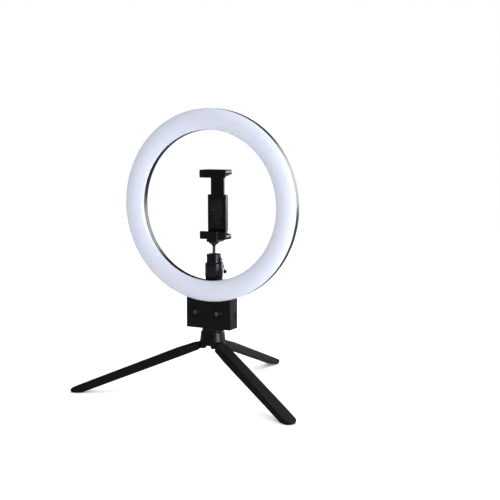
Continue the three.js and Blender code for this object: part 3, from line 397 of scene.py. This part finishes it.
finishes = {
    "black_plastic": {"dark": (0.0008, 0.0008, 0.0016), "light": (0.0020, 0.0020, 0.0032),
                      "worn": (0.012, 0.012, 0.015), "roughness": (0.29, 0.36), "cloud": 70.0,
                      "pebble": 2200.0, "bump": 0.16, "bumpDepth": 0.05,
                      "scuffs": 0.14, "dust": 0.008, "shader": {"Specular IOR Level": 0.5}},
    "grained_plastic": {"dark": (0.0008, 0.0008, 0.0012), "light": (0.0036, 0.0036, 0.0046),
                        "worn": (0.024, 0.024, 0.027), "roughness": (0.46, 0.62), "cloud": 110.0,
                        "pebble": 620.0, "pebbleShare": 0.85, "bump": 0.55, "bumpDepth": 0.14,
                        "scuffs": 0.30, "dust": 0.012, "speckled": True,
                        "shader": {"Specular IOR Level": 0.30}},
    "milky_diffuser": {"dark": (0.560, 0.584, 0.674), "light": (0.566, 0.590, 0.680), "worn": (0.56, 0.57, 0.64),
                       "roughness": (0.26, 0.28), "cloud": 9.0, "pebble": 700.0, "bump": 0.02, "bumpDepth": 0.02,
                       "scuffs": 0.0, "dust": 0.0, "dustColour": (0.60, 0.61, 0.66), "glow": 0.05,
                       "shader": {"Subsurface Weight": 0.35, "Subsurface Scale": 0.004, "Coat Weight": 0.15,
                                  "Coat Roughness": 0.12}},
    "rubber": {"dark": (0.0050, 0.0050, 0.0055), "light": (0.0105, 0.0105, 0.0110), "worn": (0.03, 0.03, 0.03),
               "roughness": (0.72, 0.88), "cloud": 120.0, "pebble": 1500.0, "bump": 0.4, "bumpDepth": 0.08,
               "scuffs": 0.3, "dust": 0.05, "shader": {"Specular IOR Level": 0.3}},
    "anodised_aluminium": {"dark": (0.0040, 0.0040, 0.0065), "light": (0.0075, 0.0075, 0.0115),
                           "worn": (0.16, 0.16, 0.17), "roughness": (0.22, 0.32), "cloud": 60.0, "pebble": 3000.0,
                           "bump": 0.05, "bumpDepth": 0.03, "scuffs": 0.04, "dust": 0.006, "lines": 2600.0,
                           "shader": {"Metallic": 0.15, "Specular IOR Level": 0.6}},
    "chrome": {"dark": (0.20, 0.20, 0.21), "light": (0.30, 0.30, 0.31), "worn": (0.3, 0.3, 0.3),
               "roughness": (0.10, 0.18), "cloud": 80.0, "pebble": 1800.0, "bump": 0.05, "bumpDepth": 0.02,
               "scuffs": 0.2, "dust": 0.02, "shader": {"Metallic": 1.0}},
    "satinLever": {"dark": (0.52, 0.52, 0.54), "light": (0.66, 0.66, 0.68), "worn": (0.4, 0.4, 0.4),
                   "roughness": (0.30, 0.42), "cloud": 90.0, "pebble": 1800.0, "bump": 0.08, "bumpDepth": 0.02,
                   "scuffs": 0.15, "dust": 0.02, "shader": {"Metallic": 0.55}},
    "printedMark": {"dark": (0.14, 0.14, 0.15), "light": (0.22, 0.22, 0.23), "worn": (0.06, 0.06, 0.06),
                    "roughness": (0.4, 0.55), "cloud": 300.0, "pebble": 2500.0, "bump": 0.1, "bumpDepth": 0.02,
                    "scuffs": 0.3, "dust": 0.0},
    "bright_steel": {"dark": (0.36, 0.36, 0.38), "light": (0.52, 0.52, 0.54), "worn": (0.28, 0.27, 0.26),
                     "roughness": (0.24, 0.38), "cloud": 150.0, "pebble": 2000.0, "bump": 0.2, "bumpDepth": 0.03,
                     "scuffs": 0.3, "dust": 0.04, "lines": 3200.0, "shader": {"Metallic": 1.0}},
    "dark_steel": {"dark": (0.018, 0.018, 0.020), "light": (0.045, 0.045, 0.050), "worn": (0.25, 0.25, 0.26),
                   "roughness": (0.30, 0.42), "cloud": 200.0, "pebble": 2200.0, "bump": 0.2, "bumpDepth": 0.03,
                   "scuffs": 0.4, "dust": 0.02, "shader": {"Metallic": 0.8}},
    "brass": {"dark": (0.50, 0.33, 0.11), "light": (0.68, 0.48, 0.19), "worn": (0.40, 0.27, 0.12),
              "roughness": (0.25, 0.38), "cloud": 160.0, "pebble": 2000.0, "bump": 0.2, "bumpDepth": 0.03,
              "scuffs": 0.3, "dust": 0.02, "lines": 3200.0, "shader": {"Metallic": 1.0}},
    "nylon": {"dark": (0.60, 0.60, 0.60), "light": (0.72, 0.72, 0.71), "worn": (0.5, 0.49, 0.45),
              "roughness": (0.45, 0.6), "cloud": 90.0, "pebble": 1400.0, "bump": 0.2, "scuffs": 0.2, "dust": 0.03,
              "shader": {"Subsurface Weight": 0.1, "Subsurface Scale": 0.002}},
    "circuit_board": {"dark": (0.018, 0.115, 0.045), "light": (0.03, 0.19, 0.075), "worn": (0.30, 0.30, 0.2),
                      "roughness": (0.28, 0.4), "cloud": 240.0, "pebble": 1500.0, "bump": 0.2,
                      "scuffs": 0.3, "dust": 0.1},
    "led_board": {"dark": (0.78, 0.76, 0.62), "light": (0.88, 0.86, 0.76), "worn": (0.7, 0.68, 0.55),
                  "roughness": (0.35, 0.5), "cloud": 200.0, "pebble": 1500.0, "bump": 0.15,
                  "scuffs": 0.1, "dust": 0.0},
    "lead_sleeve": {"dark": (0.22, 0.015, 0.015), "light": (0.34, 0.03, 0.03), "worn": (0.4, 0.1, 0.1),
                    "roughness": (0.4, 0.55), "cloud": 200.0, "pebble": 1500.0, "bump": 0.2,
                    "scuffs": 0.2, "dust": 0.1},
}
materials = {slot: makeFinish(slot, look) for slot, look in finishes.items()}
print("finishes made")


def adopt(piece, node, look=None, stands=True):  # the piece takes a node's place, body and finish
    piece.data.materials.clear()
    piece.data.materials.append(materials[look or slotOf[node]])
    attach(piece, bodyOf[node])
    if stands:
        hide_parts(node)
    return piece


# ring head: the milky diffuser in front, the black shell behind

ringLook = {"bandSteps": 176, "crownPoints": 22, "bandWidth": 28.4, "wall": 2.0, "edgeRound": 0.8, "seamGap": 0.2,
            "screwRecess": (2.7, 1.4), "mountRecess": (1.6, 4)}  # recesses: radius, depth
shellLow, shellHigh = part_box("ring_back_shell")
ringCentre = Vector(((shellLow.x + shellHigh.x) / 2, 0, (shellLow.z + shellHigh.z) / 2))
ringOuter = (shellHigh.x - shellLow.x) / 2 / mm
ringInner = ringOuter - ringLook["bandWidth"]
seamY = shellLow.y / mm
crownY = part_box("ring_diffuser")[0].y / mm
backY = shellHigh.y / mm


def arcPoints(halfWidth, depth, start, end, count):  # (radius, forward) round the crown of the band
    middleR = (ringOuter + ringInner) / 2
    points = []
    for i in range(count + 1):
        angle = start + (end - start) * i / count
        points.append((middleR + halfWidth * math.cos(angle), depth * math.sin(angle)))
    return points


def makeDiffuser():
    half = (ringOuter - ringInner) / 2
    depth = (seamY - ringLook["seamGap"]) - crownY
    outer = arcPoints(half, depth, 0, math.pi, ringLook["crownPoints"])
    wall = ringLook["wall"]
    inner = arcPoints(half - wall, depth - wall, math.pi, 0, ringLook["crownPoints"])
    piece = spun("ringDiffuser", outer + inner, ringLook["bandSteps"], closed=True)
    placed(piece, (ringCentre.x, (seamY - ringLook["seamGap"]) * mm, ringCentre.z), "-Y")
    smoothShade(piece, 50)
    return adopt(piece, "ring_diffuser")


def makeShell():
    depth = backY - seamY
    wall, soft = ringLook["wall"], ringLook["edgeRound"]
    corner = [(1 - math.cos(math.radians(a)), math.sin(math.radians(a))) for a in (0, 22, 45, 68, 90)]
    outline = [(ringOuter, 0)]
    outline += [(ringOuter - soft * x, depth - soft + soft * y) for x, y in corner]
    outline += [(ringInner + soft * x, depth - soft + soft * y) for x, y in reversed(corner)]
    outline += [(ringInner, 0), (ringInner + wall, 0), (ringInner + wall, depth - wall),
                (ringOuter - wall, depth - wall), (ringOuter - wall, 0)]
    piece = spun("ringBackShell", outline, ringLook["bandSteps"], closed=True)
    placed(piece, (ringCentre.x, seamY * mm, ringCentre.z), "Y")
    for family, count, recess in (("ring_screw", 6, "screwRecess"), ("ring_mount_screw", 2, "mountRecess")):
        radius, deep = ringLook[recess]
        for i in range(count):
            at = middle(f"{family}_{i + 1}")
            piece = cutWith(piece, rod(radius, -deep, 2, (at.x, shellHigh.y, at.z), "Y", 24))
    smoothShade(piece, 34)
    return adopt(piece, "ring_back_shell")


makeDiffuser()
makeShell()
print("ring head made")


# screws: one of each kind is modelled and copied

screwLook = {"crossWidth": 0.7, "crossDepth": 0.7, "domeSteps": 24,
             "headHeights": {"box_screw": 1.2, "ring_mount_screw": 1.2, "ring_screw": 1.2, "clamp_screw": 0.8}}


def makeScrewShape(name, shank, headR, shankR, headHeight):
    outline = [(0, -shank), (shankR * 0.6, -shank), (shankR, -shank + 0.6), (shankR, 0), (headR, 0),
               (headR, headHeight * 0.35), (headR * 0.9, headHeight * 0.72), (headR * 0.6, headHeight * 0.95),
               (0, headHeight)]
    piece = spun(name, outline, screwLook["domeSteps"])
    wide, deep = screwLook["crossWidth"] * mm / 2, screwLook["crossDepth"] * mm
    reach = headR * 0.55 * mm
    top = headHeight * mm
    for low, high in (((-reach, -wide, top - deep), (reach, wide, top + deep)),
                      ((-wide, -reach, top - deep), (wide, reach, top + deep))):
        piece = cutWith(piece, block("cross", low, high))
    return smoothShade(piece, 40)


def makeScrews():
    nodes = [node for node in slotOf if "_screw_" in node]
    for family, headHeight in screwLook["headHeights"].items():
        own = [node for node in nodes if node.startswith(family)]
        low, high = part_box(own[0])
        headR = (high.x - low.x) / 2 / mm
        shank = (high.y - low.y) / mm - headHeight
        master = makeScrewShape(family + "Shape", shank, headR, headR / 2, headHeight)
        placed(master, (0, 0, 0), "Y")
        for node in own:
            low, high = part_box(node)
            at = middle(node)
            piece = copied(master, node.replace("_", "-") + "-head", (at.x, high.y - headHeight * mm, at.z))
            smoothShade(piece, 40)
            adopt(piece, node)
        pick(master)
        bpy.ops.object.delete()


makeScrews()
print("screws made")


# control box and its two buttons

boxLook = {"edge": 0.35, "socketEdge": 0.12, "boardEdge": 0.1, "buttonDish": 0.25, "buttonSteps": 64,
           "markRadius": 1.9, "markWidth": 0.24}


def makeBox():
    for node in ("box_front_cover", "box_rear_cover"):
        adopt(refined(node, node.replace("_", "-"), boxLook["edge"], 3), node)
    adopt(refined("power_socket", "power-socket", boxLook["socketEdge"], 2), "power_socket")
    adopt(refined("driver_board", "driver-board", boxLook["boardEdge"], 1), "driver_board")


def makeButtons():
    for node in ("power_button", "mode_button"):
        low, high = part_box(node)
        at = middle(node)
        flange = (high.x - low.x) / 2 / mm
        cap = flange - 1.1
        depth = (high.y - low.y) / mm
        back = depth - 0.6
        dish = boxLook["buttonDish"]
        lip = back - 1.2  # front of the flange that keeps the button in
        outline = [(0, -dish), (cap * 0.35, -dish * 0.8), (cap * 0.62, -dish * 0.35), (cap * 0.78, -0.04),
                   (cap * 0.86, 0), (cap - 0.35, -0.06), (cap - 0.1, -0.25), (cap, -0.6), (cap, -lip),
                   (flange, -lip), (flange, -back), (1.5, -back), (1.5, -depth), (0, -depth)]
        piece = spun(node.replace("_", "-"), outline, boxLook["buttonSteps"])
        placed(piece, (at.x, low.y, at.z), "-Y")
        smoothShade(piece, 40)
        adopt(piece, node)


def makeMarks():  # a plain on-off mark and a plain light mark, printed on the buttons
    wide, radius = boxLook["markWidth"], boxLook["markRadius"]
    for node, full in (("power_button", False), ("mode_button", True)):
        low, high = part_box(node)
        at = middle(node)
        front = low.y + boxLook["buttonDish"] * mm
        bpy.ops.object.select_all(action="DESELECT")
        bpy.ops.mesh.primitive_torus_add(major_radius=radius * (0.62 if full else 1) * mm, minor_radius=wide * mm,
                                         major_segments=48, minor_segments=10, location=(0, 0, 0))
        ring = settle(named(node.split("_")[0] + "-mark"))
        bars = []
        if full:
            for i in range(8):
                turn = math.radians(45 * i)
                bar = block("ray", (-wide * mm, 1.75 * mm, -wide * mm), (wide * mm, 2.75 * mm, wide * mm))
                bars.append(settle(bar, Matrix.Rotation(turn, 4, "Z")))
        else:
            gap = block("gap", (-0.85 * mm, 0.8 * mm, -1 * mm), (0.85 * mm, 3 * mm, 1 * mm))
            ring = cutWith(ring, gap)
            bars.append(block("bar", (-wide * mm, 0.35 * mm, -wide * mm), (wide * mm, 2.5 * mm, wide * mm)))
        for bar in bars:
            roundEdges(bar, 0.1 * mm, 2)
        mark = joined(ring, *bars)
        placed(mark, (at.x, front + 0.02 * mm, at.z), "-Y")
        smoothShade(mark, 40)
        adopt(mark, node, "printedMark", stands=False)


makeBox()
makeButtons()
makeMarks()
print("control box made")


# tripod

tripodLook = {"edge": 0.8, "hubEdge": 0.9, "padEdge": 0.3, "pinEdge": 0.2}


def makeTripod():
    adopt(refined("tripod_hub", "tripod-hub", tripodLook["hubEdge"], 4, 34), "tripod_hub")
    for side in ("left", "right", "rear"):
        adopt(refined(f"leg_{side}", f"leg-{side}", tripodLook["edge"], 3, 25), f"leg_{side}")
        adopt(refined(f"foot_pad_{side}", f"foot-pad-{side}", tripodLook["padEdge"], 2), f"foot_pad_{side}")
        adopt(refined(f"leg_pin_{side}", f"leg-pin-{side}", tripodLook["pinEdge"], 2, 40), f"leg_pin_{side}")
    adopt(refined("hub_pad", "hub-pad", tripodLook["padEdge"], 2), "hub_pad")


makeTripod()
print("tripod made")


# ball head

headLook = {"steps": 72, "housingR": 12.2, "collarR": 10.0, "collarHeight": 11.8, "studBore": 3.35,
            "bossR": 4.0, "screwBore": 2.3, "wheelR": 11.7, "knurls": 56, "knurlDepth": 0.45,
            "ballR": 7.6, "stemR": 2.1, "threadR": 3.05, "threadRoot": 2.6, "leverEdge": 0.3}


def makeHousing():
    low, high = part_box("ball_housing")
    ballLow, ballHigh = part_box("ball")
    at = middle("ball")
    base = low.z / mm
    rim = high.z / mm - base
    wide, collar, stud = headLook["housingR"], headLook["collarR"], headLook["studBore"]
    step = rim - headLook["collarHeight"]
    ballUp = at.z / mm - base
    bore = (ballHigh.x - ballLow.x) / 2 / mm + 0.3
    floor = ballUp - 12.6  # of the hollow under the ball
    outline = [(stud, 0), (wide - 0.8, 0), (wide - 0.2, 0.25), (wide, 0.8), (wide, step - 1.6),
               (wide - 0.25, step - 1.0), (collar + 0.5, step - 0.2), (collar + 0.1, step + 0.3),
               (collar, step + 0.9), (collar, rim - 0.8), (collar - 0.2, rim - 0.25), (collar - 0.7, rim),
               (9.2, rim), (8.9, rim - 0.3), (7.3, rim - 3.0), (7.2, rim - 3.6), (bore * 0.985, ballUp + 1.2),
               (bore, ballUp), (bore, floor), (stud, floor)]
    piece = spun("ball-housing", outline, headLook["steps"], closed=True)
    placed(piece, (at.x, at.y, low.z))
    leverAt = middle("lock_screw")
    boss = rod(headLook["bossR"], 8.6, 11.8, (at.x, at.y, leverAt.z), "X", 40)
    roundEdges(boss, 0.4 * mm, 2, 40)
    piece = cutWith(piece, boss, "UNION")
    piece = cutWith(piece, rod(headLook["screwBore"], 6, 13, (at.x, at.y, leverAt.z), "X", 32))
    smoothShade(piece, 34)
    return adopt(piece, "ball_housing")


def makeWheel():
    low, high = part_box("head_lock_wheel")
    at = middle("head_lock_wheel")
    bpy.ops.object.select_all(action="DESELECT")
    bpy.ops.mesh.primitive_cylinder_add(vertices=headLook["knurls"] * 2, radius=headLook["wheelR"] * mm,
                                        depth=high.z - low.z, location=(0, 0, 0))
    piece = named("head-lock-wheel")
    grooves = set([face.index for face in piece.data.polygons if abs(face.normal.z) < 0.5][::2])
    selectFaces(piece, lambda face: face.index in grooves)
    bpy.ops.mesh.inset(thickness=0.12 * mm, depth=-headLook["knurlDepth"] * mm, use_individual=True)
    closeEdit()
    piece = cutWith(piece, rod(headLook["studBore"], -5, 5, (0, 0, 0), "Z", 32))
    placed(piece, at)
    smoothShade(piece, 28)
    return adopt(piece, "head_lock_wheel")


def makeStem():
    low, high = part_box("ball_stem")
    at = middle("ball_stem")
    height = (high.z - low.z) / mm
    flange = height - 8.5
    wide = (high.x - low.x) / 2 / mm
    stem, crest, root = headLook["stemR"], headLook["threadR"], headLook["threadRoot"]
    outline = [(0, 0), (stem, 0), (stem, flange - 6.0), (2.3, flange - 5.2), (3.0, flange - 4.2),
               (4.4, flange - 2.9), (wide - 0.4, flange - 1.7), (wide, flange - 1.2), (wide, flange - 0.3),
               (wide - 0.3, flange), (crest, flange)]
    up = flange + 0.5
    while up < height - 1.2:  # thread
        outline += [(crest, up), (root, up + 0.4), (crest, up + 0.8)]
        up += 0.82
    outline += [(root, height - 0.3), (2.3, height), (0, height)]
    piece = spun("ball-stem", outline, 48)
    placed(piece, (at.x, at.y, low.z))
    smoothShade(piece, 40)
    adopt(piece, "ball_stem")
    ballAt = middle("ball")
    bpy.ops.object.select_all(action="DESELECT")
    bpy.ops.mesh.primitive_uv_sphere_add(segments=48, ring_count=28, radius=headLook["ballR"] * mm,
                                         location=ballAt)
    ball = settle(named("ball-sphere"))
    smoothShade(ball, 60)
    adopt(ball, "ball")


def makeLever():
    adopt(refined("lever_arm", "lever-arm", headLook["leverEdge"], 2), "lever_arm", "satinLever")
    low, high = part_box("lever_grip")
    at = middle("lever_grip")
    height = (high.z - low.z) / mm
    outline = [(0, 0), (1.2, 0.05), (1.8, 0.4), (2.15, 1.1), (2.3, 1.9), (2.3, height - 1.2), (2.1, height - 0.5),
               (1.6, height - 0.05), (0, height)]
    piece = spun("lever-grip", outline, 40)
    placed(piece, (at.x, at.y, low.z))
    smoothShade(piece, 40)
    adopt(piece, "lever_grip")


makeHousing()
makeWheel()
makeStem()
makeLever()
print("ball head made")


# phone clamp

clampLook = {"edge": 0.7, "coverEdge": 0.3, "padEdge": 0.12, "ribs": 11, "ribDepth": 0.35,
             "springWire": 0.34, "springTurns": 11, "stepsPerTurn": 20}


def makePad(node):
    low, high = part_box(node)
    piece = block(node.replace("_", "-"), low, high)
    along = 2 if (high.z - low.z) > (high.x - low.x) else 0
    count = clampLook["ribs"]
    pick(piece)
    bpy.ops.object.mode_set(mode="EDIT")
    normal = Vector((0, 0, 0))
    normal[along] = 1
    start, end = low[along], high[along]
    for i in range(1, 2 * count):
        cut = Vector(low)
        cut[along] = start + (end - start) * i / (2 * count)
        bpy.ops.mesh.select_all(action="SELECT")
        bpy.ops.mesh.bisect(plane_co=cut, plane_no=normal)
    closeEdit()
    thin = min(range(3), key=lambda k: (high - low)[k])
    face = -1 if node in ("upper_jaw_pad", "spine_pad") else 1
    pitch = (end - start) / (2 * count)

    def isGroove(polygon):
        place = int((polygon.center[along] - start) / pitch)
        return polygon.normal[thin] * face > 0.9 and place % 2 == 1
    selectFaces(piece, isGroove)
    bpy.ops.mesh.inset(thickness=0.1 * mm, depth=-clampLook["ribDepth"] * mm, use_individual=True)
    closeEdit()
    roundEdges(piece, clampLook["padEdge"] * mm, 2, 40)
    smoothShade(piece, 30)
    return adopt(piece, node)


def makeSpring(node):
    low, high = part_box(node)
    at = middle(node)
    wire = clampLook["springWire"] * mm
    radius = (high.x - low.x) / 2 - wire
    bpy.ops.object.select_all(action="DESELECT")
    bpy.ops.mesh.primitive_circle_add(vertices=8, radius=wire, fill_type="NGON", location=(radius, 0, 0),
                                      rotation=(math.pi / 2, 0, 0))
    piece = settle(named(node.replace("_", "-")))
    turns = clampLook["springTurns"]
    bpy.ops.object.modifier_add(type="SCREW")
    modifier = piece.modifiers[-1]
    modifier.axis = "Z"
    modifier.angle = 2 * math.pi * turns
    modifier.screw_offset = (high.z - low.z) - 2 * wire
    modifier.steps = modifier.render_steps = clampLook["stepsPerTurn"] * turns
    modifier.use_normal_calculate = True
    bpy.ops.object.modifier_apply(modifier=modifier.name)
    bpy.ops.object.mode_set(mode="EDIT")
    bpy.ops.mesh.select_all(action="SELECT")
    bpy.ops.mesh.remove_doubles(threshold=0.001 * mm)
    bpy.ops.mesh.select_all(action="SELECT")
    bpy.ops.mesh.normals_make_consistent(inside=False)
    closeEdit()
    placed(piece, (at.x, at.y, low.z + wire))
    smoothShade(piece, 60)
    piece.data.materials.clear()
    piece.data.materials.append(materials[slotOf[node]])
    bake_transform(piece)
    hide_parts(node)


def makeClamp():
    adopt(refined("clamp_base", "clamp-base", clampLook["edge"], 3), "clamp_base")
    adopt(refined("clamp_slider", "clamp-slider", clampLook["edge"], 3), "clamp_slider")
    adopt(refined("clamp_back_cover", "clamp-back-cover", clampLook["coverEdge"], 2), "clamp_back_cover")
    for node in ("lower_jaw_pad", "upper_jaw_pad", "spine_pad"):
        makePad(node)
    for node in ("clamp_spring_left", "clamp_spring_right"):
        makeSpring(node)


makeClamp()
print("phone clamp made")


# CAD nodes that are kept take the finish of their slot

for node, cad in frame["nodes"].items():
    cad.data.materials.clear()
    cad.data.materials.append(materials[slotOf[node]])


# floor, light and camera

studio = {"floorSize": 60.0, "floorDrop": 0.0004, "paleTones": ((0.93, 0.93, 0.935), (0.96, 0.96, 0.962)),
          "floorGlow": 0.15, "ambient": 0.90, "backdrop": 1.0,
          "mirrored": 0.032, "floorMirrored": 0.035}  # how bright the room and the floor are in reflections
softboxes = {  # place, what it is aimed at, size, power
    "rightSoftbox": ((1.7, -0.35, 0.55), (0, 0, 0.2), (0.9, 1.3), 27.0),
    "backSoftbox": ((0.9, 1.6, 0.7), (0, 0, 0.2), (1.4, 1.2), 30.0),
    "topSoftbox": ((-0.1, -0.2, 2.2), (0, 0, 0.1), (2.0, 2.0), 5.0)}
cameraLook = {"lens": 71.588, "sensor": 36.0, "farthest": 50.0,
              "away": (0.44668, -0.88725, 0.11515),  # from the object towards the camera
              "right": 0.65013, "back": 1.17522, "height": 0.35115}  # from the stud and the back of the ring


def makeStudio():
    bpy.ops.object.select_all(action="DESELECT")
    bpy.ops.mesh.primitive_plane_add(size=studio["floorSize"], location=(0, 0, -studio["floorDrop"]))
    floor = settle(named("floor"))
    material = bpy.data.materials.new("paleFloor")
    material.use_nodes = True
    tree = material.node_tree
    shader = tree.nodes["Principled BSDF"]
    shader.inputs["Specular IOR Level"].default_value = 0.0  # matt, so it stays pale far off
    tone = noiseNode(tree, stretchedCoords(tree, (1, 1, 1)), 3.0, 2.0)
    path = tree.nodes.new("ShaderNodeLightPath")
    pale = mixColour(tree, tone, *studio["paleTones"])
    dim = (studio["floorMirrored"],) * 3
    tree.links.new(mixColour(tree, path.outputs["Is Glossy Ray"], pale, dim), shader.inputs["Base Color"])
    shader.inputs["Roughness"].default_value = 0.9
    shader.inputs["Emission Color"].default_value = (1, 1, 1, 1)
    shader.inputs["Emission Strength"].default_value = studio["floorGlow"]
    floor.data.materials.append(material)
    world = bpy.data.worlds.new("studioWorld")
    bpy.context.scene.world = world
    world.use_nodes = True
    tree = world.node_tree
    background = tree.nodes["Background"]
    background.inputs["Color"].default_value = (1, 1, 1, 1)
    path = tree.nodes.new("ShaderNodeLightPath")
    seen = mathNode(tree, "MULTIPLY", path.outputs["Is Camera Ray"], studio["backdrop"] - studio["ambient"])
    gloss = mathNode(tree, "MULTIPLY", path.outputs["Is Glossy Ray"], studio["mirrored"] - studio["ambient"])
    strength = mathNode(tree, "ADD", mathNode(tree, "ADD", seen, gloss), studio["ambient"])
    tree.links.new(strength, background.inputs["Strength"])
    bpy.context.scene.view_settings.view_transform = "Standard"


def areaLight(name, place, aim, size, power):
    light = bpy.data.lights.new(name, "AREA")
    light.shape = "RECTANGLE"
    light.size, light.size_y = size
    light.energy = power
    light.color = (0.94, 0.96, 1.0)
    holder = bpy.data.objects.new(name, light)
    bpy.context.collection.objects.link(holder)
    holder.location = place
    holder.rotation_euler = (Vector(aim) - Vector(place)).to_track_quat("-Z", "Y").to_euler()


def makeCamera():
    camera = bpy.data.cameras.new("camera")
    camera.lens = cameraLook["lens"]
    camera.sensor_width = cameraLook["sensor"]
    camera.clip_end = cameraLook["farthest"]
    holder = bpy.data.objects.new("camera", camera)
    bpy.context.collection.objects.link(holder)
    axisX = middle("tripod_stud").x
    holder.location = (axisX + cameraLook["right"], shellHigh.y - cameraLook["back"], cameraLook["height"])
    holder.rotation_euler = Vector(cameraLook["away"]).to_track_quat("Z", "Y").to_euler()
    bpy.context.scene.camera = holder


makeStudio()
for name, setting in softboxes.items():
    areaLight(name, *setting)
makeCamera()
print("studio made")

print("done")
